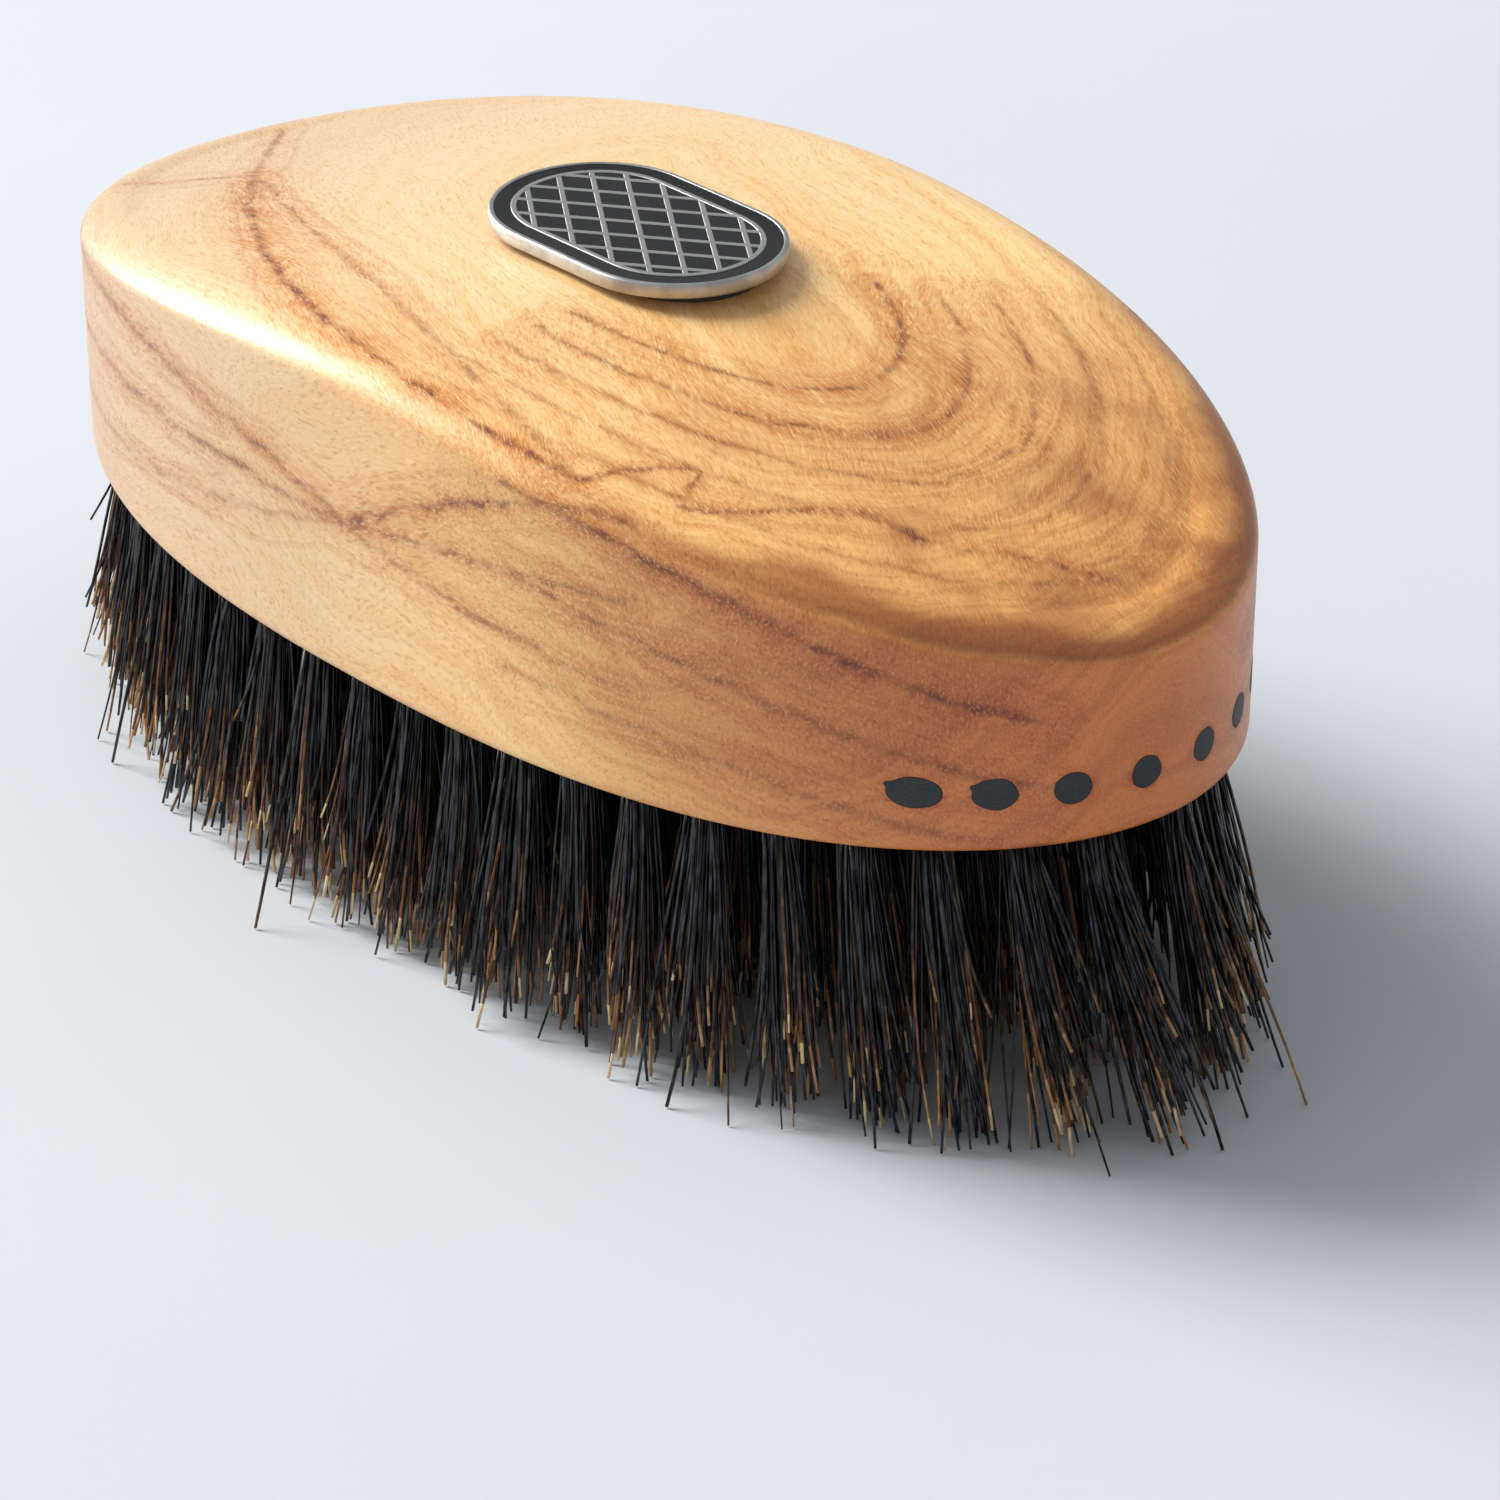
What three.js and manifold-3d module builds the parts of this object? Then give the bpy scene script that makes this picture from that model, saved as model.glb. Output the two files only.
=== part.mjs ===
// A palm-sized beard brush: an oval wooden stock filled with boar bristle and carrying a small metal badge.
// Millimetres, +Z up, X along the brush, the bristle tips standing on z = 0.
import * as THREE from "three";
import { mergeVertices } from "three/addons/utils/BufferGeometryUtils.js";
import Module from "manifold-3d";

const wasm = await Module();
wasm.setup();

const OVERCUT = 1; // how far a cutter passes the surface it cuts

// Wooden stock
const HALF_LENGTH = 57.5;
const HALF_WIDTH = 29.1;
const SIDE_POWER = 2.52; // how full the outline stays towards the ends
const TIP_POWER = 1.97; // how round the two ends are
const BRISTLE_LENGTH = 23; // free length under the stock at mid-length
const STOCK_HEIGHT = 26.55; // underside to top edge at mid-length
const LEFT_DROP = 8.0; // how far the top edge falls to the left end
const RIGHT_DROP = 9.4; // how far it falls to the right end
const DROP_POWER = 1.68;
const CROWN = 0.85; // how far the top is domed across its width
const UNDERSIDE_RISE = 1.3; // how far the underside curves up to the ends
const EDGE_INSET = 4.8; // rounding between top and side, across
const EDGE_FALL = 2.6; // and down
const UNDER_BEVEL = 0.8; // bevel between side and underside
const UNDER_STRIPS = 6; // flat strips that the curved underside is planed in
const OUTLINE_STEPS = 60;
const NORMAL_STEP = 0.01; // angle step used to find the outline's normal
const ROUND_STEPS = 4;
const CROWN_SHARES = [0.8, 0.5, 0.25, 0];

// Channels drilled from the right end, each closed by a plug and holding a draw wire
const CHANNEL_ROWS = [2.95, 8.5, 13.2, 17.2]; // distance from the middle line
const CHANNEL_RADIUS = 1.3;
const CHANNEL_LIFT = 5.9; // channel axis above the underside at mid-length
const CHANNEL_SIDES = 8;
const CHANNEL_END_WOOD = 5; // wood left beyond the blind end
const PLUG_LENGTH = 4.5;
const PLUG_GAP = 0.1;
const WIRE_RADIUS = 0.4;
const WIRE_SIDES = 6;
const WIRE_LIFT = 0.5; // wire above the channel axis
const WIRE_END_GAP = 0.8;

// Bristle tufts
const TUFT_PITCH = 6.6;
const EDGE_PITCH = 5.9; // the edge rows stand closer, because their tips spread
const HOLE_RADIUS = 1.5;
const TUFT_RADIUS = 1.2;
const TUFT_SIDES = 6;
const SET_DEPTH = 3.6; // hole depth of the tufts that are glued in, not drawn
const TUFT_HEAD_GAP = 0.35;
const TIP_ALONG = 3.95; // half-size of a flared tuft at its tips, along its row
const TIP_ACROSS = 1.9;
const SPLAY = 3.4; // how far the tips lean out at the very edge
const SPLAY_POWER = 3;
const EDGE_ROW_INSET = 3.9; // outermost tufts, in from the outline
const EDGE_ROW_START = 0.165; // where the edge rows begin and end, as an angle from the tip
const EDGE_ROW_SAMPLES = 120;
const FILL_ROW = 21.3; // short row between the drawn rows and the edge row
const SPACING_ALONG = 6.4; // least distance of a straight row's tuft from an edge tuft, along the row
const SPACING_ACROSS = 3.8; // and across it

// Badge
const BADGE_LENGTH = 26;
const BADGE_WIDTH = 16.8;
const BADGE_THICKNESS = 1.2;
const BADGE_BEVEL = 0.2;
const BADGE_RIM = 0.55;
const POOL_DEPTH = 0.5;
const POOL_GAP = 0.05;
const PAD_THICKNESS = 0.35;
const PAD_INSET = 1.6;
const PAD_GAP = 0.03;
const INNER_RING_INSET = 1.75;
const LINE_WIDTH = 0.44;
const LINE_HEIGHT = 0.12;
const LATTICE_SPACING = 2.6;
const LATTICE_ANGLE = Math.PI / 5;
const BADGE_ARC_STEPS = 12;

const oliveWood = new THREE.MeshStandardMaterial({ color: 0xc98f52, roughness: 0.42, metalness: 0 });
const darkWood = new THREE.MeshStandardMaterial({ color: 0x2b2c30, roughness: 0.6, metalness: 0 });
const bristle = new THREE.MeshStandardMaterial({ color: 0x17161a, roughness: 0.45, metalness: 0 });
const wireMetal = new THREE.MeshStandardMaterial({ color: 0xb08d57, roughness: 0.35, metalness: 1 });
const badgeMetal = new THREE.MeshStandardMaterial({ color: 0xc9c9c6, roughness: 0.3, metalness: 1 });
const blackEnamel = new THREE.MeshStandardMaterial({ color: 0x0c0c0d, roughness: 0.18, metalness: 0 });
const padRubber = new THREE.MeshStandardMaterial({ color: 0x3a3632, roughness: 0.8, metalness: 0 });

const brush = new THREE.Group();

function addPiece(name, geometry, material) {
  const mesh = new THREE.Mesh(geometry, material);
  mesh.name = name;
  brush.add(mesh);
}

function toSolid(geometry) {
  const bare = geometry.clone();
  bare.deleteAttribute("normal");
  bare.deleteAttribute("uv");
  const merged = mergeVertices(bare, 1e-4);
  const vertProperties = new Float32Array(merged.attributes.position.array);
  const triVerts = new Uint32Array(merged.index.array);
  return new wasm.Manifold(new wasm.Mesh({ numProp: 3, vertProperties, triVerts }));
}

function toGeometry(solid) {
  const mesh = solid.getMesh();
  const geometry = new THREE.BufferGeometry();
  geometry.setAttribute("position", new THREE.BufferAttribute(new Float32Array(mesh.vertProperties), 3));
  geometry.setIndex(new THREE.BufferAttribute(new Uint32Array(mesh.triVerts), 1));
  geometry.computeVertexNormals();
  return geometry;
}

function joinAll(solids) {
  let joined = solids[0];
  for (const next of solids.slice(1)) joined = joined.add(next);
  return joined;
}

// The stock's outline: a point at angle t round it, moved in along the outline's own normal.
function halfWidthAt(x) {
  const share = Math.min(1, Math.abs(x) / HALF_LENGTH);
  return HALF_WIDTH * (1 - share ** SIDE_POWER) ** (1 / TIP_POWER);
}

function outlinePoint(t) {
  const x = HALF_LENGTH * Math.cos(t);
  return new THREE.Vector2(x, Math.sign(Math.sin(t)) * halfWidthAt(x));
}

function insetPoint(t, inset) {
  const along = outlinePoint(t + NORMAL_STEP).sub(outlinePoint(t - NORMAL_STEP)).normalize();
  const inward = new THREE.Vector2(-along.y, along.x);
  return outlinePoint(t).addScaledVector(inward, inset);
}

function undersideAt(x) {
  return BRISTLE_LENGTH + UNDERSIDE_RISE * (x / HALF_LENGTH) ** 2;
}

function topEdgeAt(x) {
  const drop = x < 0 ? LEFT_DROP : RIGHT_DROP;
  return BRISTLE_LENGTH + STOCK_HEIGHT - drop * Math.abs(x / HALF_LENGTH) ** DROP_POWER;
}

// One ring of the stock's skin is a rule that gives the point at angle t. The two lowest rings are
// waste, planed off by the cutter below.
function skinRings() {
  const rings = [];
  rings.push(() => [0, 0, BRISTLE_LENGTH - OVERCUT]);
  rings.push((t) => {
    const p = insetPoint(t, UNDER_BEVEL + OVERCUT);
    return [p.x, p.y, undersideAt(p.x) - OVERCUT];
  });
  rings.push((t) => {
    const p = outlinePoint(t);
    return [p.x, p.y, undersideAt(p.x) + UNDER_BEVEL];
  });
  for (let i = 0; i <= ROUND_STEPS; i++) {
    const angle = (i / ROUND_STEPS) * (Math.PI / 2);
    rings.push((t) => {
      const p = insetPoint(t, EDGE_INSET * (1 - Math.cos(angle)));
      const edge = topEdgeAt(HALF_LENGTH * Math.cos(t));
      return [p.x, p.y, edge - EDGE_FALL * (1 - Math.sin(angle))];
    });
  }
  for (const share of CROWN_SHARES) {
    rings.push((t) => {
      const p = insetPoint(t, EDGE_INSET).multiplyScalar(share);
      const edge = topEdgeAt(HALF_LENGTH * Math.cos(t) * share);
      return [p.x, p.y, edge + CROWN * (1 - share ** 2)];
    });
  }
  return rings;
}

// What is planed off under the stock, in flat strips across its width.
function undersideCutter() {
  const shape = new THREE.Shape();
  const reach = HALF_LENGTH + OVERCUT;
  shape.moveTo(-reach, 0);
  shape.lineTo(reach, 0);
  for (let i = 0; i <= UNDER_STRIPS; i++) {
    const x = reach * (1 - (2 * i) / UNDER_STRIPS);
    shape.lineTo(x, undersideAt(x));
  }
  const geometry = new THREE.ExtrudeGeometry(shape, { depth: 3 * HALF_WIDTH, bevelEnabled: false });
  geometry.rotateX(Math.PI / 2);
  geometry.translate(0, 1.5 * HALF_WIDTH, 0);
  return toSolid(geometry);
}

// The blank starts as a turned shape with a lathe point for each ring. Every ring then takes the oval's form.
function stockBlank() {
  const rings = skinRings();
  const last = rings.length - 1;
  const profile = rings.map((_, i) => new THREE.Vector2(i === 0 || i === last ? 0 : 1, i));
  const geometry = new THREE.LatheGeometry(profile, OUTLINE_STEPS);
  const position = geometry.attributes.position;
  for (let step = 0; step <= OUTLINE_STEPS; step++) {
    const t = ((step % OUTLINE_STEPS) / OUTLINE_STEPS) * 2 * Math.PI;
    rings.forEach((ring, i) => position.setXYZ(step * rings.length + i, ...ring(t)));
  }
  return toSolid(geometry).subtract(undersideCutter());
}

function rod(radius, sides, from, to, y, z) {
  const geometry = new THREE.CylinderGeometry(radius, radius, to - from, sides);
  geometry.rotateZ(Math.PI / 2);
  geometry.translate((from + to) / 2, y, z);
  return toSolid(geometry);
}

function tuftHole(x, y, top) {
  const bottom = undersideAt(x) - OVERCUT;
  const geometry = new THREE.CylinderGeometry(HOLE_RADIUS, HOLE_RADIUS, top - bottom, TUFT_SIDES);
  geometry.rotateX(Math.PI / 2);
  geometry.rotateZ(Math.PI / 2);
  geometry.translate(x, y, (top + bottom) / 2);
  return toSolid(geometry);
}

// A tuft: a round root in its hole, then a flare to an oval of tips that leans outwards near the edge.
function tuft(root, headZ, rowAngle) {
  const geometry = new THREE.CylinderGeometry(1, 1, 1, TUFT_SIDES, 2);
  geometry.rotateX(Math.PI / 2);
  geometry.rotateZ(Math.PI / 2);
  const position = geometry.attributes.position;
  const splayX = SPLAY * (root.x / HALF_LENGTH) ** SPLAY_POWER;
  const splayY = SPLAY * (root.y / HALF_WIDTH) ** SPLAY_POWER;
  const tipCentre = new THREE.Vector2(root.x + splayX, root.y + splayY);
  const levels = [
    { centre: tipCentre, along: TIP_ALONG, across: TIP_ACROSS, z: 0 },
    { centre: root, along: TUFT_RADIUS, across: TUFT_RADIUS, z: undersideAt(root.x) - TUFT_HEAD_GAP },
    { centre: root, along: TUFT_RADIUS, across: TUFT_RADIUS, z: headZ },
  ];
  for (let i = 0; i < position.count; i++) {
    const level = levels[Math.round(position.getZ(i) * 2) + 1];
    const place = new THREE.Vector2(position.getX(i) * level.along, position.getY(i) * level.across);
    place.rotateAround(new THREE.Vector2(), rowAngle).add(level.centre);
    position.setXYZ(i, place.x, place.y, level.z);
  }
  return toSolid(geometry);
}

// Where the edge rows stand, on the far side (+1) or the near side (-1).
function edgeRowRoots(side) {
  const points = [];
  for (let i = 0; i <= EDGE_ROW_SAMPLES; i++) {
    const t = EDGE_ROW_START + (i / EDGE_ROW_SAMPLES) * (Math.PI - 2 * EDGE_ROW_START);
    points.push(insetPoint(side * t, EDGE_ROW_INSET));
  }
  const curve = new THREE.SplineCurve(points);
  const count = Math.round(curve.getLength() / EDGE_PITCH);
  return curve.getSpacedPoints(count);
}

const edgeRoots = [...edgeRowRoots(1), ...edgeRowRoots(-1)];

function straightRowRoots(y) {
  const roots = [];
  const reach = Math.ceil(HALF_LENGTH / TUFT_PITCH);
  for (let i = -reach; i <= reach; i++) {
    const root = new THREE.Vector2(i * TUFT_PITCH, y);
    const isClear = edgeRoots.every((other) => {
      const along = (other.x - root.x) / SPACING_ALONG;
      const across = (other.y - root.y) / SPACING_ACROSS;
      return Math.hypot(along, across) >= 1;
    });
    const isInside = Math.abs(y) < halfWidthAt(Math.abs(root.x) + EDGE_ROW_INSET);
    if (isClear && isInside) roots.push(root);
  }
  return roots;
}

function rowAngleAt(roots, i) {
  const before = roots[Math.max(0, i - 1)];
  const after = roots[Math.min(roots.length - 1, i + 1)];
  return Math.atan2(after.y - before.y, after.x - before.x);
}

const blank = stockBlank();
const cutters = [];

// Rows held by a wire, numbered from the near side to the far side
const rowYs = [...CHANNEL_ROWS.map((y) => -y).reverse(), ...CHANNEL_ROWS];
const channelZ = BRISTLE_LENGTH + CHANNEL_LIFT;
rowYs.forEach((y, i) => {
  const share = (Math.abs(y) / HALF_WIDTH) ** TIP_POWER;
  const wallX = HALF_LENGTH * (1 - share) ** (1 / SIDE_POWER);
  const blindX = -wallX + CHANNEL_END_WOOD;
  const outside = HALF_LENGTH + OVERCUT;
  const plugX = wallX - PLUG_LENGTH;
  cutters.push(rod(CHANNEL_RADIUS, CHANNEL_SIDES, blindX, outside, y, channelZ));
  const plug = rod(CHANNEL_RADIUS - PLUG_GAP, CHANNEL_SIDES, plugX, outside, y, channelZ);
  addPiece("channel_plug_" + (i + 1), toGeometry(plug.intersect(blank)), darkWood);
  const wireFrom = blindX + WIRE_END_GAP;
  const wireTo = plugX - WIRE_END_GAP;
  const wire = rod(WIRE_RADIUS, WIRE_SIDES, wireFrom, wireTo, y, channelZ + WIRE_LIFT);
  addPiece("draw_wire_" + (i + 1), toGeometry(wire), wireMetal);
  const headZ = channelZ + WIRE_LIFT - WIRE_RADIUS - TUFT_HEAD_GAP;
  const tufts = [];
  for (const root of straightRowRoots(y)) {
    cutters.push(tuftHole(root.x, root.y, channelZ));
    tufts.push(tuft(root, headZ, 0));
  }
  addPiece("tuft_row_" + (i + 1), toGeometry(joinAll(tufts)), bristle);
});

// Rows whose tufts are glued into blind holes of their own
const setRows = {
  near_edge: edgeRowRoots(-1),
  near_fill: straightRowRoots(-FILL_ROW),
  far_fill: straightRowRoots(FILL_ROW),
  far_edge: edgeRowRoots(1),
};
for (const [name, roots] of Object.entries(setRows)) {
  const tufts = [];
  roots.forEach((root, i) => {
    const holeTop = undersideAt(root.x) + SET_DEPTH;
    cutters.push(tuftHole(root.x, root.y, holeTop));
    tufts.push(tuft(root, holeTop - TUFT_HEAD_GAP, rowAngleAt(roots, i)));
  });
  addPiece("tuft_row_" + name, toGeometry(joinAll(tufts)), bristle);
}

addPiece("wooden_stock", toGeometry(blank.subtract(joinAll(cutters))), oliveWood);

// Badge: a stadium outline, shrunk by an inset
function stadium(inset) {
  const radius = BADGE_WIDTH / 2 - inset;
  const straight = BADGE_LENGTH / 2 - BADGE_WIDTH / 2;
  const shape = new THREE.Shape();
  shape.moveTo(-straight, -radius);
  shape.lineTo(straight, -radius);
  shape.absarc(straight, 0, radius, -Math.PI / 2, Math.PI / 2);
  shape.lineTo(-straight, radius);
  shape.absarc(-straight, 0, radius, Math.PI / 2, (3 * Math.PI) / 2);
  return shape;
}

function slab(shape, bottom, height) {
  const options = { depth: height, bevelEnabled: false, curveSegments: BADGE_ARC_STEPS };
  const geometry = new THREE.ExtrudeGeometry(shape, options);
  geometry.translate(0, 0, bottom);
  return toSolid(geometry);
}

const crownZ = BRISTLE_LENGTH + STOCK_HEIGHT + CROWN;
const badgeZ = crownZ + PAD_THICKNESS;
const badgeTopZ = badgeZ + BADGE_THICKNESS;
const poolZ = badgeTopZ - POOL_DEPTH;

const plateOptions = {
  depth: BADGE_THICKNESS - 2 * BADGE_BEVEL,
  bevelThickness: BADGE_BEVEL,
  bevelSize: BADGE_BEVEL,
  bevelSegments: 2,
  curveSegments: BADGE_ARC_STEPS,
};
const plateBlank = new THREE.ExtrudeGeometry(stadium(BADGE_BEVEL), plateOptions);
plateBlank.translate(0, 0, badgeZ + BADGE_BEVEL);
const pool = slab(stadium(BADGE_RIM), poolZ, 2 * POOL_DEPTH);
addPiece("badge_plate", toGeometry(toSolid(plateBlank).subtract(pool)), badgeMetal);

const enamelHeight = POOL_DEPTH - POOL_GAP - LINE_HEIGHT / 2;
const enamel = slab(stadium(BADGE_RIM + POOL_GAP), poolZ + POOL_GAP, enamelHeight);
addPiece("badge_enamel", toGeometry(enamel), blackEnamel);

// Plain diamond lattice inside a thin ring, lying on the enamel
const lineZ = poolZ + POOL_GAP + enamelHeight;
const ringShape = stadium(INNER_RING_INSET);
const ringSolid = slab(ringShape, lineZ, LINE_HEIGHT);
const ringHole = slab(stadium(INNER_RING_INSET + LINE_WIDTH), lineZ - LINE_HEIGHT, 3 * LINE_HEIGHT);
const lineField = slab(stadium(INNER_RING_INSET + LINE_WIDTH / 2), lineZ, LINE_HEIGHT);
const lines = [ringSolid.subtract(ringHole)];
const lineCount = Math.ceil(BADGE_LENGTH / LATTICE_SPACING / 2);
for (const side of [-1, 1]) {
  for (let i = -lineCount; i <= lineCount; i++) {
    const bar = new THREE.BoxGeometry(2 * BADGE_LENGTH, LINE_WIDTH, LINE_HEIGHT);
    bar.rotateZ(side * LATTICE_ANGLE);
    bar.translate((i * LATTICE_SPACING) / Math.sin(LATTICE_ANGLE), 0, lineZ + LINE_HEIGHT / 2);
    const clipped = toSolid(bar).intersect(lineField);
    if (clipped.volume() > LINE_WIDTH ** 3) lines.push(clipped);
  }
}
addPiece("badge_lattice", toGeometry(joinAll(lines)), badgeMetal);

const padBlank = slab(stadium(PAD_INSET), crownZ - OVERCUT, OVERCUT + PAD_THICKNESS - PAD_GAP);
addPiece("badge_pad", toGeometry(padBlank.subtract(blank.translate(0, 0, PAD_GAP))), padRubber);

export default brush;
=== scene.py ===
# Looks of the beard brush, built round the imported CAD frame. Metres, +Z up, X along the brush.
import math

import bpy
import numpy as np
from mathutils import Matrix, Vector


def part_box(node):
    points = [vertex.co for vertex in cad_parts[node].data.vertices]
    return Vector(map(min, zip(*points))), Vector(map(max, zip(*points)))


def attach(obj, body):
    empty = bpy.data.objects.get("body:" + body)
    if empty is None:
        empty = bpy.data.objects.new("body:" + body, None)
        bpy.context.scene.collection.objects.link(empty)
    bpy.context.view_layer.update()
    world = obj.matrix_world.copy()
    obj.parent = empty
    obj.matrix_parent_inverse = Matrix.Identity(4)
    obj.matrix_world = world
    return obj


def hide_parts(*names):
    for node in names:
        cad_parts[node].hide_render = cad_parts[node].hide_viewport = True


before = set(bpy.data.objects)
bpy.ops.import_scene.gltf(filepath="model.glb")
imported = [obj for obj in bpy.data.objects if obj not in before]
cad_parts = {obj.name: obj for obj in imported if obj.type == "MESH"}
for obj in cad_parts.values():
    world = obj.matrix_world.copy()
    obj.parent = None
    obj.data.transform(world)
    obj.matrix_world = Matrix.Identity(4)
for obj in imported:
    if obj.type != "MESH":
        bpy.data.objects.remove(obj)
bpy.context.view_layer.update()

MM = 0.001
rng = np.random.default_rng(27)
CHANNELS = range(1, 9)  # plugs, wires and drawn tuft rows share these numbers

# ---------------------------------------------------------------- stock outline, as in the CAD

stock_low, stock_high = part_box("wooden_stock")
A = (stock_high.x - stock_low.x) / 2 / MM
B = (stock_high.y - stock_low.y) / 2 / MM
SIDE_POWER = 2.52
TIP_POWER = 1.97
CROWN = 0.85
UNDER_RISE = 1.3
LEFT_DROP = 8.0
RIGHT_DROP = 9.4
DROP_POWER = 1.68
EDGE_INSET = 4.8
EDGE_FALL = 2.6
UNDER_ROUND = 0.8
UNDER_Z = stock_low.z / MM
EDGE_Z = stock_high.z / MM - CROWN


def half_width(x):
    share = np.clip(np.abs(x) / A, 0, 1)
    return B * (1 - share**SIDE_POWER) ** (1 / TIP_POWER)


def wall_x(y):
    return A * (1 - (np.abs(y) / B) ** TIP_POWER) ** (1 / SIDE_POWER)


def outline(t):
    x = A * np.cos(t)
    return np.stack([x, np.sign(np.sin(t)) * half_width(x)], -1)


def inset_outline(t, inset):
    along = outline(t + 0.01) - outline(t - 0.01)
    along /= np.linalg.norm(along, axis=1, keepdims=True)
    return outline(t) + inset * np.stack([-along[:, 1], along[:, 0]], -1)


def under_z(x):
    return UNDER_Z + UNDER_RISE * (x / A) ** 2


def top_edge_z(x):
    drop = np.where(x < 0, LEFT_DROP, RIGHT_DROP)
    return EDGE_Z - drop * np.abs(x / A) ** DROP_POWER


# ---------------------------------------------------------------- figure of the wood

# The growth rings run round this axis, given by two places (x, y) on the top, in mm.
HEART_LEFT = (-12.0, 8.0)
HEART_RIGHT = (22.0, -2.0)

# The dark growth lines are drawn by rule, in shares of the stock. Along is a share of the half length,
# across a share of the half width, and height a share of the wall's height there.
# Each line is (line width in mm, strength, width of the stain beside it in mm, curve).
LINE_WIDTH = 0.5
TONGUE = (0.1, 0.0)  # middle of the rings on the top
TONGUE_RADII = (0.35, 0.4)
FORK = (-0.7, -0.2)  # where the lines on the left of the top part
NEAR_EDGE = (0.4, -0.9)  # where they reach the near edge
MEETING = (0.0, 0.5)  # where the lines of a wall come together
NEAR_LEAN = 0.6  # how fast the lines out of the meeting place climb on the near wall
FAR_LEAN = 0.2  # and on the far wall
FAR_OFF = 9.0  # further than any line reaches
TOP_LIFT = 0.6  # top lines start this far over the top edge, then move to the nearest vertex
HALO = 0.9  # stain round each plug
HALO_WIDTH = 0.5


def bend(start, pull, end):
    """A curve from start to end that leans towards pull."""
    start, pull, end = (np.array(place) for place in (start, pull, end))
    s = np.linspace(0, 1, 40)[:, None]
    return start * (1 - s) ** 2 + 2 * pull * s * (1 - s) + end * s**2


def arc(centre, radii, turn_from, turn_to):
    """Part of an ellipse, between two angles in degrees."""
    t = np.radians(np.linspace(turn_from, turn_to, 60))
    return np.column_stack([centre[0] + radii[0] * np.cos(t), centre[1] + radii[1] * np.sin(t)])


def steps(start, end, waves, reach):
    """A run from start to end with side waves that die away."""
    s = np.linspace(0, 1, 90)
    side = reach * (1 - s) ** 1.5 * np.sin(2 * np.pi * waves * s)
    return np.outer(1 - s, start) + np.outer(s, end) + np.column_stack([0.1 * side, side])


def top_lines():
    """Rings round the tongue, lines from the fork to the near edge, and short ones to the left tip."""
    lines = [(LINE_WIDTH, 0.7, 1.4, steps(NEAR_EDGE, (0.9, 0.0), 2.5, 0.2))]
    for ring in range(5):
        grow = 1 + 0.3 * ring
        radii = (TONGUE_RADII[0] * grow, TONGUE_RADII[1] * grow)
        lines.append((LINE_WIDTH, 0.7 - 0.1 * ring, 1.8 + 0.3 * ring, arc(TONGUE, radii, 60, -90)))
    for i in range(2):
        lines.append((LINE_WIDTH, 0.9 - 0.4 * i, 2.2, bend(FORK, (-0.2, 0.4 * i - 1.1), NEAR_EDGE)))
        lines.append((LINE_WIDTH, 0.5, 1.4, bend(FORK, (-0.8, 0.3 * i - 0.3), (-0.9, 0.6 * i - 0.4))))
    return lines


def wall_lines(lean):
    """Three lines into the meeting place, three out of it and three that fall away to the right end."""
    lines = []
    for i in range(3):
        rise = 0.3 * i
        strength = 0.4 + 0.2 * i
        lines.append((LINE_WIDTH, strength, 1.4, bend((-0.9, 0.3 + rise), (-0.5, 0.2 + rise), MEETING)))
        lines.append((LINE_WIDTH, strength, 1.6, bend(MEETING, (0.2, 0.4 + lean * rise), (0.5, 0.4 + rise))))
        lines.append((LINE_WIDTH, strength, 2.2, bend((0.3, 0.3 + rise), (0.7, 0.3 + rise), (0.95, rise))))
    return lines


def paint_figure(stock):
    """Stores on the stock's vertices how near each is to a growth line, and how deep the stain is there."""
    mesh = stock.data
    points = np.zeros(len(mesh.vertices) * 3)
    mesh.vertices.foreach_get("co", points)
    points = points.reshape(-1, 3) / MM
    nearest = np.full(len(points), FAR_OFF)
    gap = np.full(len(points), FAR_OFF)
    strength_there = np.zeros(len(points))
    stain = np.zeros(len(points))
    for side, lines in ((0, top_lines()), (-1, wall_lines(NEAR_LEAN)), (1, wall_lines(FAR_LEAN))):
        for width, strength, stain_width, curve in lines:
            x = curve[:, 0] * A
            if side == 0:
                path = np.column_stack([x, curve[:, 1] * B, top_edge_z(x) + TOP_LIFT])
            else:
                z = under_z(x) + curve[:, 1] * (top_edge_z(x) - under_z(x))
                path = np.column_stack([x, side * half_width(x), z])
            path = np.array([points[np.argmin(((points - q) ** 2).sum(1))] for q in path])
            far = np.full(len(points), 1e9)
            near_path = np.all((points > path.min(0) - FAR_OFF) & (points < path.max(0) + FAR_OFF), axis=1)
            close = points[near_path]
            best = np.full(len(close), 1e9)
            for a, b in zip(path[:-1], path[1:]):
                leg = b - a
                share = np.clip((close - a) @ leg / max(leg @ leg, 1e-9), 0, 1)
                best = np.minimum(best, ((close - a - share[:, None] * leg) ** 2).sum(1))
            far[near_path] = np.sqrt(best)
            gap = np.minimum(gap, far)
            scaled = far / width
            wins = scaled < nearest
            strength_there[wins] = strength
            nearest = np.minimum(nearest, scaled)
            stain = np.maximum(stain, strength * np.exp(-((far / stain_width) ** 2)))
    for number in CHANNELS:
        low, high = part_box(f"channel_plug_{number}")
        middle = (low + high) / 2 / MM
        away = np.hypot(points[:, 1] - middle.y, points[:, 2] - middle.z) - (high.z - low.z) / 2 / MM
        halo = HALO * np.exp(-((away / HALO_WIDTH) ** 2)) * (points[:, 0] > 0)
        stain = np.maximum(stain, halo)
    stored = {"line_distance": nearest, "line_gap": gap, "line_strength": strength_there, "stain": stain}
    for name, values in stored.items():
        mesh.attributes.new(name, "FLOAT", "POINT").data.foreach_set("value", values.astype(np.float32))


# ---------------------------------------------------------------- mesh helpers


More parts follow.
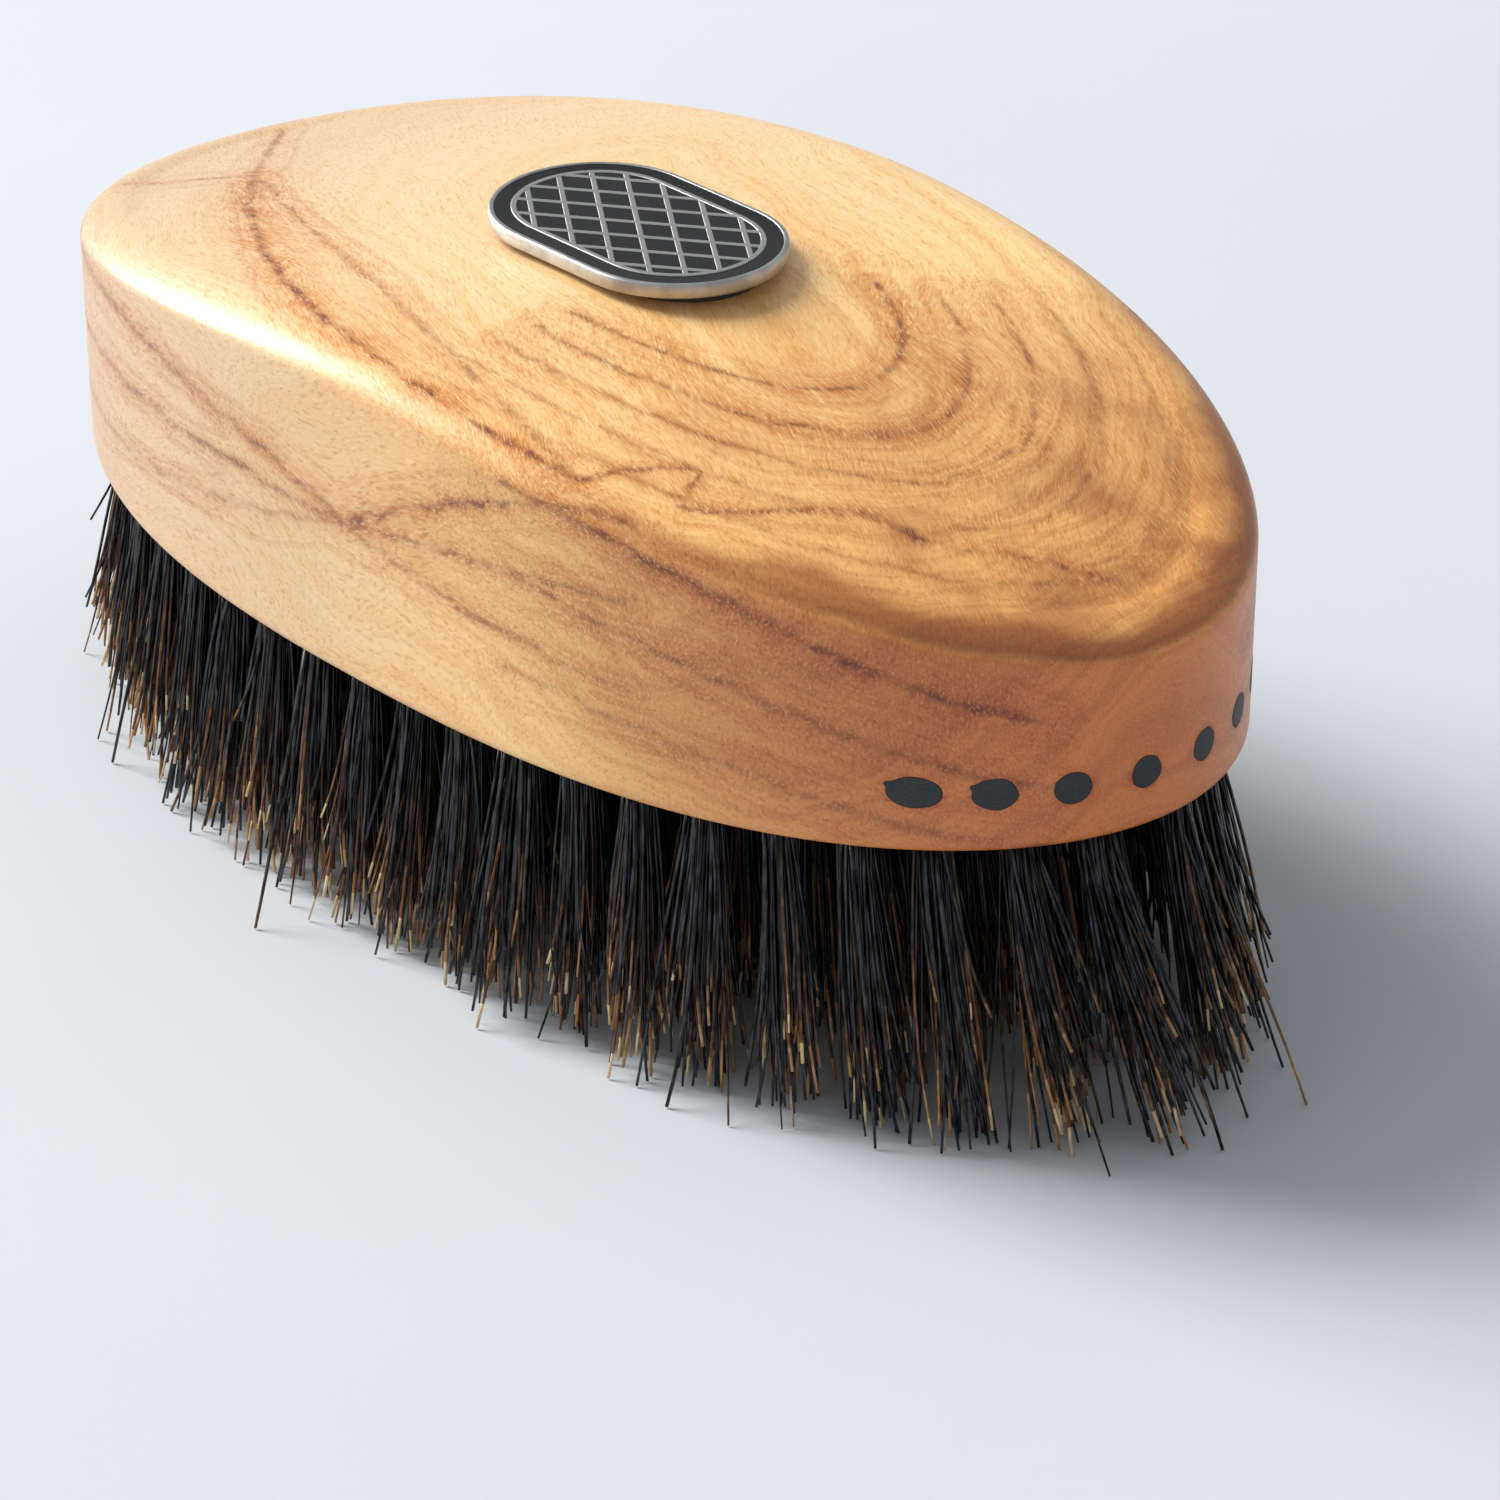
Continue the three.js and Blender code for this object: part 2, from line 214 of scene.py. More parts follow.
def make_object(name, points_mm, faces, slot, materials, face_material=None, smooth=True):
    mesh = bpy.data.meshes.new(name)
    points = np.asarray(points_mm, float) * MM
    mesh.from_pydata(points.tolist(), [], faces)
    for material in materials:
        mesh.materials.append(material)
    if face_material is not None:
        mesh.polygons.foreach_set("material_index", np.asarray(face_material, np.int32))
    mesh.polygons.foreach_set("use_smooth", np.full(len(mesh.polygons), smooth))
    mesh.update()
    piece = bpy.data.objects.new(name, mesh)
    bpy.context.scene.collection.objects.link(piece)
    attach(piece, "root")
    return piece


def stacked_rings(rings, bottom, top):
    """Closed skin through equal rings of points, shut by one point below and one above."""
    n = len(rings[0])
    points = [bottom] + [p for ring in rings for p in ring] + [top]
    faces = []
    last = len(points) - 1
    for j in range(n):
        k = (j + 1) % n
        faces.append((0, 1 + k, 1 + j))
        base = 1 + (len(rings) - 1) * n
        faces.append((last, base + j, base + k))
    for i in range(len(rings) - 1):
        a = 1 + i * n
        b = a + n
        for j in range(n):
            k = (j + 1) % n
            faces.append((a + j, a + k, b + k, b + j))
    return points, faces


# ---------------------------------------------------------------- node helpers


class Nodes:
    """Short calls for building one procedural material."""

    def __init__(self, name):
        self.material = bpy.data.materials.new(name)
        self.material.use_nodes = True
        self.tree = self.material.node_tree
        self.shader = self.tree.nodes["Principled BSDF"]

    def put(self, kind, inputs=None, **settings):
        node = self.tree.nodes.new(kind)
        for key, value in settings.items():
            setattr(node, key, value)
        for key, value in (inputs or {}).items():
            self.feed(node.inputs[key], value)
        return node

    def feed(self, socket, value):
        if isinstance(value, bpy.types.NodeSocket):
            self.tree.links.new(value, socket)
        else:
            socket.default_value = value

    def math(self, operation, a, b=None, c=None):
        node = self.put("ShaderNodeMath", operation=operation)
        for i, value in enumerate((a, b, c)):
            if value is not None:
                self.feed(node.inputs[i], value)
        return node.outputs[0]

    def position(self):
        """Place on the piece in millimetres."""
        where = self.put("ShaderNodeTexCoord").outputs["Object"]
        return self.scaled(where, (1000, 1000, 1000))

    def scaled(self, vector, scale, turn=(0, 0, 0), shift=(0, 0, 0)):
        values = {"Vector": vector, "Scale": scale, "Rotation": turn, "Location": shift}
        return self.put("ShaderNodeMapping", values).outputs[0]

    def noise(self, vector, scale, detail=2.0, rough=0.5, distortion=0.0):
        values = {"Vector": vector, "Scale": scale, "Detail": detail}
        values |= {"Roughness": rough, "Distortion": distortion}
        return self.put("ShaderNodeTexNoise", values).outputs["Fac"]

    def ramp(self, value, stops, mode="LINEAR"):
        node = self.put("ShaderNodeValToRGB", {"Fac": value})
        ramp = node.color_ramp
        ramp.interpolation = mode
        while len(ramp.elements) < len(stops):
            ramp.elements.new(0.5)
        for element, (place, colour) in zip(ramp.elements, stops):
            element.position = place
            element.color = (*colour, 1) if len(colour) == 3 else colour
        return node.outputs["Color"]

    def span(self, value, low, high, to_low=0.0, to_high=1.0):
        values = {"Value": value, "From Min": low, "From Max": high, "To Min": to_low, "To Max": to_high}
        return self.put("ShaderNodeMapRange", values, interpolation_type="SMOOTHSTEP").outputs[0]

    def mix(self, factor, a, b, blend="MIX"):
        node = self.put("ShaderNodeMix", data_type="RGBA", blend_type=blend)
        self.feed(node.inputs[0], factor)
        self.feed(node.inputs[6], a if isinstance(a, bpy.types.NodeSocket) else (*a, 1))
        self.feed(node.inputs[7], b if isinstance(b, bpy.types.NodeSocket) else (*b, 1))
        return node.outputs[2]

    def bump(self, height, strength, distance_mm):
        values = {"Height": height, "Strength": strength, "Distance": distance_mm * MM}
        return self.put("ShaderNodeBump", values).outputs[0]

    def surface(self, **values):
        for key, value in values.items():
            if isinstance(value, tuple) and len(value) == 3:
                value = (*value, 1)
            self.feed(self.shader.inputs[key.replace("_", " ")], value)
        return self.material


# ---------------------------------------------------------------- materials

# wood colours from the left end to the right end
PALE = [
    (0.57, 0.412, 0.245),
    (0.71, 0.515, 0.305),
    (0.77, 0.56, 0.31),
    (0.95, 0.65, 0.295),
    (0.88, 0.45, 0.125),
]
DEEP = [
    (0.53, 0.36, 0.195),
    (0.70, 0.455, 0.235),
    (0.76, 0.47, 0.205),
    (0.76, 0.40, 0.125),
    (0.58, 0.235, 0.052),
]
ALONG = [0.0, 0.22, 0.42, 0.7, 1.0]  # where each of them lies along the brush
WALL_TINT = [
    (0.0, (0.88, 0.83, 0.81)),
    (0.5, (0.98, 0.95, 0.92)),
    (0.75, (1.0, 0.96, 0.90)),
    (1.0, (0.82, 0.50, 0.38)),
]


def olive_wood():
    n = Nodes("olive_wood")
    p = n.position()

    def wander(scale, reach, detail):
        """A noise offset of up to about half of reach, in mm."""
        values = {"Vector": p, "Scale": scale, "Detail": detail, "Roughness": 0.55}
        cloud = n.put("ShaderNodeTexNoise", values).outputs["Color"]
        centred = n.put("ShaderNodeVectorMath", {0: cloud, 1: (0.5, 0.5, 0.5)}, operation="SUBTRACT")
        values = {0: centred.outputs[0], "Scale": reach}
        return n.put("ShaderNodeVectorMath", values, operation="SCALE").outputs[0]

    swayed = n.put("ShaderNodeVectorMath", {0: p, 1: wander(0.05, 9.0, 1.0)}, operation="ADD").outputs[0]
    bent = n.put("ShaderNodeVectorMath", {0: swayed, 1: wander(0.3, 1.6, 3.0)}, operation="ADD").outputs[0]
    # distance from the heart line: the growth rings lie round it
    axes = n.put("ShaderNodeSeparateXYZ", {"Vector": bent}).outputs
    flat = n.put("ShaderNodeCombineXYZ", {"X": axes[0], "Y": axes[1]}).outputs[0]
    start = (*HEART_LEFT, 0)
    span = (HEART_RIGHT[0] - HEART_LEFT[0], HEART_RIGHT[1] - HEART_LEFT[1], 0)
    away = n.put("ShaderNodeVectorMath", {0: flat, 1: start}, operation="SUBTRACT").outputs[0]
    along = n.put("ShaderNodeVectorMath", {0: away, 1: span}, operation="DOT_PRODUCT").outputs["Value"]
    along = n.math("DIVIDE", along, span[0] ** 2 + span[1] ** 2)
    along = n.put("ShaderNodeClamp", {"Value": along}).outputs[0]
    foot = n.put("ShaderNodeVectorMath", {0: span, "Scale": along}, operation="SCALE").outputs[0]
    radial = n.put("ShaderNodeVectorMath", {0: away, 1: foot}, operation="SUBTRACT").outputs[0]
    radial = n.put("ShaderNodeVectorMath", {0: radial}, operation="LENGTH").outputs["Value"]
    height = n.math("MULTIPLY", n.math("SUBTRACT", axes[2], 47.0), 1.1)
    squares = n.math("ADD", n.math("MULTIPLY", radial, radial), n.math("MULTIPLY", height, height))
    ring = n.math("SQRT", squares)

    def rings(scale, detail):
        values = {"W": ring, "Scale": scale, "Detail": detail, "Roughness": 0.6}
        return n.put("ShaderNodeTexNoise", values, noise_dimensions="1D").outputs["Fac"]

    broad = n.span(rings(0.15, 1.0), 0.35, 0.68)
    fine = n.span(rings(0.75, 2.0), 0.42, 0.66)
    hair = n.span(rings(2.4, 2.0), 0.45, 0.65)
    place = n.put("ShaderNodeSeparateXYZ", {"Vector": p}).outputs
    toward_right = n.span(place[0], -62.0, 62.0)
    patches = n.span(n.noise(n.scaled(p, (0.6, 1, 1)), 0.055, 2.0), 0.35, 0.65)
    # pale left end, deeper right end
    pale = n.ramp(toward_right, list(zip(ALONG, PALE)))
    deep = n.ramp(toward_right, list(zip(ALONG, DEEP)))
    tone = n.math("ADD", n.math("MULTIPLY", broad, 0.52), n.math("MULTIPLY", patches, 0.16))
    tone = n.math("ADD", tone, n.math("MULTIPLY", fine, 0.34))
    colour = n.mix(tone, pale, deep)
    dark = n.mix(toward_right, (0.34, 0.145, 0.055), (0.19, 0.055, 0.018))
    colour = n.mix(n.math("MULTIPLY", hair, 0.08), colour, dark)
    # the drawn growth lines, made ragged and broken along their length
    rag = n.math("SUBTRACT", n.noise(n.scaled(p, (1, 1, 1)), 0.9, 3.0, 0.65), 0.5)
    near = n.put("ShaderNodeAttribute", attribute_name="line_distance").outputs["Fac"]
    strength = n.put("ShaderNodeAttribute", attribute_name="line_strength").outputs["Fac"]
    stain = n.put("ShaderNodeAttribute", attribute_name="stain").outputs["Fac"]
    near = n.math("ADD", near, n.math("MULTIPLY", rag, 1.7))
    core = n.math("MULTIPLY", n.span(near, 0.0, 1.45, 1.0, 0.0), strength)
    keep = n.span(n.noise(p, 0.22, 3.0), 0.36, 0.58, 0.3, 1.0)
    core = n.math("MULTIPLY", core, keep)
    cloudy = n.span(n.noise(n.scaled(bent, (0.25, 1, 1)), 0.55, 3.0), 0.32, 0.66, 0.45, 1.2)
    stain = n.math("MULTIPLY", stain, cloudy)
    lying = n.scaled(swayed, (1, 1, 1), turn=(0, 0, 0.4))
    fibre = n.noise(n.scaled(lying, (0.75, 5.5, 3.4)), 1.0, 2.0, 0.6)
    stain = n.math("MULTIPLY", stain, n.span(fibre, 0.35, 0.65, 0.75, 1.25))
    colour = n.mix(stain, colour, n.mix(toward_right, (0.80, 0.48, 0.18), (0.70, 0.47, 0.31)), "MULTIPLY")
    # fine lines running beside the drawn ones
    gap = n.put("ShaderNodeAttribute", attribute_name="line_gap").outputs["Fac"]
    beside = n.math("ADD", gap, n.math("MULTIPLY", rag, 0.5))
    beside = n.math("ADD", beside, n.math("MULTIPLY", n.noise(p, 0.06, 1.0), 5.0))
    values = {"W": beside, "Scale": 1.0, "Detail": 2.0, "Roughness": 0.5}
    echo = n.put("ShaderNodeTexNoise", values, noise_dimensions="1D").outputs["Fac"]
    echo = n.math("MULTIPLY", n.span(echo, 0.48, 0.66), n.span(gap, 0.5, 5.5, 1.0, 0.0))
    colour = n.mix(n.math("MULTIPLY", echo, 0.7), colour, (0.76, 0.53, 0.34), "MULTIPLY")
    colour = n.mix(core, colour, n.mix(toward_right, (0.54, 0.28, 0.10), (0.50, 0.35, 0.24)), "MULTIPLY")
    vein = n.math("MULTIPLY", n.span(near, 0.0, 0.7, 1.0, 0.0), n.span(n.noise(bent, 0.5, 2.0), 0.42, 0.60))
    vein = n.math("MULTIPLY", vein, n.math("MULTIPLY", strength, 1.15))
    colour = n.mix(vein, colour, (0.52, 0.40, 0.32), "MULTIPLY")
    # short fibres lying a little across the length, with pale gold flecks that are partly painted highlight
    fleck_and_glint = n.noise(n.scaled(lying, (0.9, 6.0, 3.8), shift=(9, 4, 2)), 1.0, 2.0, 0.6)
    colour = n.mix(n.span(fibre, 0.5, 0.72, 0.0, 0.8), colour, (0.82, 0.60, 0.34), "MULTIPLY")
    # pale gold flecks: partly real pale fibre, partly painted highlight
    colour = n.mix(n.span(fleck_and_glint, 0.50, 0.74, 0.0, 0.60), colour, n.mix(0.22, pale, (0.98, 0.78, 0.46)))
    # the side wall is deeper towards the right end, and a dark band follows the rounded top edge there:
    # partly painted shade, partly the wood's own dark figure
    outward = n.put("ShaderNodeNewGeometry").outputs["Normal"]
    facing = n.put("ShaderNodeSeparateXYZ", {"Vector": outward}).outputs[2]
    tint = n.ramp(toward_right, WALL_TINT)
    colour = n.mix(n.span(facing, 0.2, 0.8, 1.0, 0.0), colour, tint, "MULTIPLY")
    drift = n.math("MULTIPLY", n.math("SUBTRACT", n.noise(p, 0.12, 2.0), 0.5), 0.5)
    shoulder_shade_and_figure = n.math("ADD", facing, drift)
    shoulder_shade_and_figure = n.math("MULTIPLY", n.span(shoulder_shade_and_figure, 0.30, 0.66), n.span(shoulder_shade_and_figure, 0.82, 1.03, 1.0, 0.0))
    shoulder_shade_and_figure = n.math("MULTIPLY", shoulder_shade_and_figure, n.span(place[0], 12.0, 50.0))
    # darken that band: painted shade mixed with the wood's own dark figure
    colour = n.mix(shoulder_shade_and_figure, colour, (0.46, 0.29, 0.20), "MULTIPLY")
    rough = n.math("ADD", 0.36, n.math("MULTIPLY", fibre, 0.16))
    height = n.math("ADD", n.math("MULTIPLY", fibre, -0.7), n.math("MULTIPLY", core, -0.25))
    normal = n.bump(height, 0.2, 0.06)
    n.surface(Coat_Weight=0.3, Coat_Roughness=0.32)
    return n.surface(Base_Color=colour, Roughness=rough, Normal=normal, IOR=1.5)


def plug_wood():
    n = Nodes("plug_wood")
    p = n.position()
    brush = n.noise(n.scaled(p, (2.0, 2.0, 14.0)), 1.0, 2.0)
    mottle = n.noise(p, 1.6, 3.0)
    colour = n.mix(n.span(brush, 0.35, 0.7), (0.010, 0.011, 0.014), (0.028, 0.031, 0.038))
    colour = n.mix(n.span(mottle, 0.45, 0.75, 0.0, 0.5), colour, (0.030, 0.026, 0.024))
    rough = n.math("ADD", 0.42, n.math("MULTIPLY", brush, 0.25))
    return n.surface(Base_Color=colour, Roughness=rough, Normal=n.bump(brush, 0.25, 0.05))


def glue_line():
    n = Nodes("glue_line")
    grain = n.noise(n.position(), 4.0, 3.0)
    colour = n.mix(grain, (0.006, 0.005, 0.005), (0.022, 0.016, 0.012))
    return n.surface(Base_Color=colour, Roughness=0.5, Normal=n.bump(grain, 0.4, 0.05))


def bristle(name, low, high, rough):
    n = Nodes(name)
    p = n.position()
    streak = n.noise(n.scaled(p, (2.5, 2.5, 0.35)), 1.0, 2.0)
    colour = n.mix(n.span(streak, 0.35, 0.65), low, high)
    gloss = n.span(streak, 0.3, 0.7, 0.15, 0.6)
    return n.surface(Base_Color=colour, Roughness=rough, IOR=1.54, Specular_IOR_Level=gloss)


def brass_wire():
    n = Nodes("draw_wire")
    p = n.position()
    drawn = n.noise(n.scaled(p, (0.2, 9.0, 9.0)), 1.0, 2.0)
    colour = n.mix(drawn, (0.60, 0.40, 0.16), (0.78, 0.56, 0.27))
    rough = n.math("ADD", 0.2, n.math("MULTIPLY", drawn, 0.2))
    return n.surface(Base_Color=colour, Metallic=1.0, Roughness=rough)


def badge_metal():
    n = Nodes("badge_metal")
    p = n.position()
    cloud = n.noise(p, 0.55, 3.0)
    grit = n.noise(p, 7.0, 3.0, 0.7)
    colour = n.mix(n.span(cloud, 0.35, 0.65), (0.42, 0.42, 0.41), (0.56, 0.56, 0.545))
    colour = n.mix(n.span(grit, 0.58, 0.75, 0.0, 0.6), colour, (0.30, 0.29, 0.27))
    rough = n.math("ADD", 0.32, n.math("MULTIPLY", grit, 0.26))
    return n.surface(Base_Color=colour, Metallic=1.0, Roughness=rough, Normal=n.bump(grit, 0.35, 0.05))


def line_metal():
    n = Nodes("badge_line_metal")
    grit = n.noise(n.position(), 6.0, 3.0, 0.7)
    colour = n.mix(grit, (0.40, 0.40, 0.395), (0.56, 0.56, 0.55))
    rough = n.math("ADD", 0.42, n.math("MULTIPLY", grit, 0.25))
    return n.surface(Base_Color=colour, Metallic=1.0, Roughness=rough, Normal=n.bump(grit, 0.2, 0.04))


def black_enamel():
    n = Nodes("badge_enamel")
    p = n.position()
    speck = n.noise(p, 3.2, 4.0, 0.6)
    colour = n.mix(n.span(speck, 0.4, 0.8), (0.0045, 0.0045, 0.005), (0.016, 0.016, 0.017))
    rough = n.math("ADD", 0.16, n.math("MULTIPLY", speck, 0.16))
    normal = n.bump(speck, 0.08, 0.05)
    return n.surface(Base_Color=colour, Roughness=rough, Normal=normal, Specular_IOR_Level=0.16)


def pad_rubber():
    n = Nodes("badge_pad")
    p = n.position()
    grain = n.noise(p, 5.0, 3.0)
    colour = n.mix(grain, (0.020, 0.016, 0.013), (0.06, 0.048, 0.038))
    return n.surface(Base_Color=colour, Roughness=0.8, Normal=n.bump(grain, 0.3, 0.05))


def floor_paper():
    n = Nodes("floor_paper")
    p = n.position()
    mottle = n.noise(p, 0.012, 3.0)
    tooth = n.noise(p, 1.4, 3.0)
    colour = n.mix(n.span(mottle, 0.3, 0.7), (0.530, 0.551, 0.585), (0.542, 0.563, 0.596))
    return n.surface(Base_Color=colour, Roughness=0.75, Normal=n.bump(tooth, 0.05, 0.1))


wood = olive_wood()
plug_material = plug_wood()
glue_material = glue_line()
metal = badge_metal()
line_material = line_metal()
enamel_material = black_enamel()
pad_material = pad_rubber()
wire_material = brass_wire()
BRISTLES = [
    bristle("bristle_black", (0.0040, 0.0040, 0.0055), (0.016, 0.016, 0.022), 0.26),
    bristle("bristle_dark_brown", (0.020, 0.010, 0.006), (0.050, 0.024, 0.012), 0.34),
    bristle("bristle_brown", (0.090, 0.035, 0.012), (0.210, 0.090, 0.032), 0.36),
    bristle("bristle_amber", (0.30, 0.15, 0.055), (0.48, 0.27, 0.11), 0.38),
    bristle("bristle_cream", (0.58, 0.42, 0.21), (0.78, 0.62, 0.38), 0.42),
]
BLACK, DARK, BROWN, AMBER, CREAM = range(5)

# ---------------------------------------------------------------- wooden stock

AROUND = 640


def stock_rings():
    t = np.arange(AROUND) / AROUND * 2 * np.pi
    edge = top_edge_z(A * np.cos(t))
    rings = []
    for share in np.linspace(0.08, 1, 12):
        p = inset_outline(t, UNDER_ROUND) * share
        rings.append(np.column_stack([p, under_z(p[:, 0])]))
    for angle in np.linspace(0, np.pi / 2, 6)[1:]:
        p = inset_outline(t, UNDER_ROUND * (1 - np.sin(angle)))
        rings.append(np.column_stack([p, under_z(p[:, 0]) + UNDER_ROUND * (1 - np.cos(angle))]))
    p = outline(t)
    foot = under_z(p[:, 0]) + UNDER_ROUND
    for share in np.linspace(0, 1, 46)[1:]:
        rings.append(np.column_stack([p, foot + (edge - EDGE_FALL - foot) * share]))
    for angle in np.linspace(0, np.pi / 2, 15)[1:]:
        p = inset_outline(t, EDGE_INSET * (1 - np.cos(angle)))
        rings.append(np.column_stack([p, edge - EDGE_FALL * (1 - np.sin(angle))]))
    rim = inset_outline(t, EDGE_INSET)
    for share in np.linspace(1, 0.015, 76)[1:]:
        z = top_edge_z(A * np.cos(t) * share) + CROWN * (1 - share**2)
        rings.append(np.column_stack([rim * share, z]))
    return rings


points, faces = stacked_rings(stock_rings(), (0, 0, UNDER_Z), (0, 0, EDGE_Z + CROWN))
stock = make_object("olive_wood_stock", points, faces, "olive_wood", [wood])
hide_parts("wooden_stock")
paint_figure(stock)

# ---------------------------------------------------------------- plugs, sanded flush with the wall

PLUG_PROUD = 0.03


def plug(number):
    low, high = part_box(f"channel_plug_{number}")
    y0 = (low.y + high.y) / 2 / MM
    z0 = (low.z + high.z) / 2 / MM
    radius = (high.z - low.z) / 2 / MM + 0.08
    turn = np.linspace(0, 2 * np.pi, 48, endpoint=False)
    wobble = np.zeros_like(turn)
    for wave in (2, 3, 5, 9):
        wobble += rng.normal(0, 0.012) * np.sin(wave * turn + rng.uniform(0, 6.28))
    torn = math.pi - 0.45 if y0 < 0 else 0.45
    apart = np.angle(np.exp(1j * (turn - torn)))
    wobble += (0.20 if abs(y0) > 10 else 0.04) * np.exp(-((apart / 0.16) ** 2))
    edge = radius * (1 + wobble)
    rings = []
    for share, back in ((0.5, 3.0), (1.0, 3.0), (1.0, 0.4), (1.0, 0.0)):
        y = y0 + edge * share * np.cos(turn)
        z = z0 + edge * share * np.sin(turn)
        rings.append(np.column_stack([wall_x(y) + PLUG_PROUD * (back < 1) - back, y, z]))
    for share in (0.93, 0.8, 0.6, 0.4, 0.2):
        y = y0 + edge * share * np.cos(turn)
        z = z0 + edge * share * np.sin(turn)
        rings.append(np.column_stack([wall_x(y) + PLUG_PROUD, y, z]))
    points, faces = stacked_rings(rings, (wall_x(y0) - 3, y0, z0), (wall_x(y0) + PLUG_PROUD, y0, z0))
    ends = np.arange(len(faces)) - len(turn) * 2
    rim = (ends >= len(turn) * 3) & (ends < len(turn) * 4)
    materials = [plug_material, glue_material]
    piece = make_object(f"plug_{number}", points, faces, "plug_wood", materials, rim.astype(int))
    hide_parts(f"channel_plug_{number}")


for number in CHANNELS:
    plug(number)
    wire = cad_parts[f"draw_wire_{number}"]
    wire.data.materials.clear()
    wire.data.materials.append(wire_material)

# ---------------------------------------------------------------- badge

badge_low, badge_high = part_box("badge_plate")
BADGE_L = (badge_high.x - badge_low.x) / MM
BADGE_W = (badge_high.y - badge_low.y) / MM
BADGE_Z0 = badge_low.z / MM
BADGE_Z1 = badge_high.z / MM
ARC = 40
POOL_INSET = 0.45
RING_INSET = 1.75
LINE = 0.44
SPACING = 2.6
LATTICE_ANGLE = math.pi / 5


def stadium(inset, z):
    radius = BADGE_W / 2 - inset
    straight = BADGE_L / 2 - BADGE_W / 2
    right = np.linspace(-np.pi / 2, np.pi / 2, ARC)
    left = right + np.pi
    x = np.concatenate([straight + radius * np.cos(right), -straight + radius * np.cos(left)])
    y = np.concatenate([radius * np.sin(right), radius * np.sin(left)])
    return np.column_stack([x, y, np.full(len(x), z)])


def stadium_solid(profile):
    rings = [stadium(inset, z) for inset, z in profile]
    return stacked_rings(rings, (0, 0, profile[0][1]), (0, 0, profile[-1][1]))


rim_top = BADGE_Z1
pool_z = rim_top - 0.4
plate_profile = [(0.25, BADGE_Z0), (0.07, BADGE_Z0 + 0.05), (0, BADGE_Z0 + 0.18), (0, rim_top - 0.22)]
plate_profile += [(0.05, rim_top - 0.08), (0.13, rim_top - 0.02), (0.22, rim_top)]
plate_profile += [(POOL_INSET - 0.08, rim_top), (POOL_INSET - 0.02, rim_top - 0.04)]
plate_profile += [(POOL_INSET, rim_top - 0.1), (POOL_INSET, pool_z)]
plate = make_object("badge_plate_metal", *stadium_solid(plate_profile), "badge_metal", [metal])
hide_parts("badge_plate")

enamel_top = rim_top - 0.07
enamel_profile = [(POOL_INSET + 0.01, pool_z + 0.01), (POOL_INSET + 0.01, enamel_top + 0.02)]
enamel_profile += [(POOL_INSET + 0.15, enamel_top), (3.0, enamel_top), (6.0, enamel_top)]
enamel = make_object("badge_enamel_fill", *stadium_solid(enamel_profile), "badge_enamel", [enamel_material])
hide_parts("badge_enamel")


def ring_line(inset, width, z0, z1):
    """A raised stadium band, closed all round."""
    lip = min(0.05, width / 4)
    far = inset + width
    path = [(inset, z0), (inset, z1 - lip), (inset + lip, z1), (far - lip, z1), (far, z1 - lip), (far, z0)]
    rings = [stadium(i, z) for i, z in path]
    n = len(rings[0])
    points = np.concatenate(rings)
    faces = []
    for i in range(len(rings)):
        a, b = i * n, (i + 1) % len(rings) * n
        for j in range(n):
            k = (j + 1) % n
            faces.append((a + j, a + k, b + k, b + j))
    return points, faces


def inside_badge(x, y, inset):
    straight = BADGE_L / 2 - BADGE_W / 2
    return np.hypot(np.maximum(np.abs(x) - straight, 0), y) < BADGE_W / 2 - inset


def lattice_bar(offset, angle, z0, z1):
    """One straight raised line with softened edges, cut to the inside of the ring, or None."""
    direction = np.array([math.cos(angle), math.sin(angle)])
    across = np.array([-direction[1], direction[0]])
    reach = np.linspace(-BADGE_L, BADGE_L, 4001)
    path = np.array([offset, 0.0]) + reach[:, None] * direction
    keep = reach[inside_badge(path[:, 0], path[:, 1], RING_INSET + LINE / 2)]
    if len(keep) < 100:
        return None
    lip = 0.05
    half = LINE / 2
    section = [(-half, z0), (-half, z1 - lip), (-half + lip, z1)]
    section += [(half - lip, z1), (half, z1 - lip), (half, z0)]
    points = []
    for s in (keep[0], keep[-1]):
        for w, z in section:
            q = np.array([offset, 0.0]) + s * direction + w * across
            points.append((q[0], q[1], z))
    m = len(section)
    faces = [(i, (i + 1) % m, m + (i + 1) % m, m + i) for i in range(m)]
    faces += [tuple(range(m - 1, -1, -1)), tuple(range(m, 2 * m))]
    return points, faces


lattice_points, lattice_faces = ring_line(RING_INSET, LINE, enamel_top - 0.05, enamel_top + 0.07)
lattice_points = lattice_points.tolist()
for side in (-1, 1):
    for i in range(-12, 13):
        offset = i * SPACING / math.sin(LATTICE_ANGLE)
        bar_top = enamel_top + 0.05 + 0.008 * side
        bar = lattice_bar(offset, side * LATTICE_ANGLE, enamel_top - 0.05, bar_top)
        if bar:
            base = len(lattice_points)
            lattice_points += bar[0]
            lattice_faces += [tuple(base + v for v in face) for face in bar[1]]
lattice_parts = (lattice_points, lattice_faces, "badge_metal", [line_material])
lattice = make_object("badge_lattice_lines", *lattice_parts, smooth=False)
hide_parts("badge_lattice")

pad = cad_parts["badge_pad"]
pad.data.materials.clear()
pad.data.materials.append(pad_material)

# ---------------------------------------------------------------- bristles

SEGMENTS = 7  # lengths in each bristle
SIDES = 4
END_SPLAY = 8.5  # how far the tips of the end tufts lean out along the brush
SIDE_SPLAY = 3.8  # and the side tufts across it
DRAWN_STRANDS = 54  # bristles in each tuft of a drawn row
SET_STRANDS = 60  # and of a row that is glued in
LEVELS = np.array([0, 0.2, 0.4, 0.58, 0.72, 0.83, 0.92, 1.0])


def tuft_roots(node):
    """Centres of the tuft heads, read from the CAD row's own highest rings of vertices."""
    vertices = np.array([v.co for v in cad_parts[node].data.vertices]) / MM
    heads = vertices[vertices[:, 2] > UNDER_Z + 2.0]
    centres = []
    left = heads[:, :2]
    while len(left):
        near = np.linalg.norm(left - left[0], axis=1) < 3.2
        group = left[near]
        centres.append((group.max(0) + group.min(0)) / 2)
        left = left[~near]
    return np.array(sorted(centres, key=lambda c: c[0]))


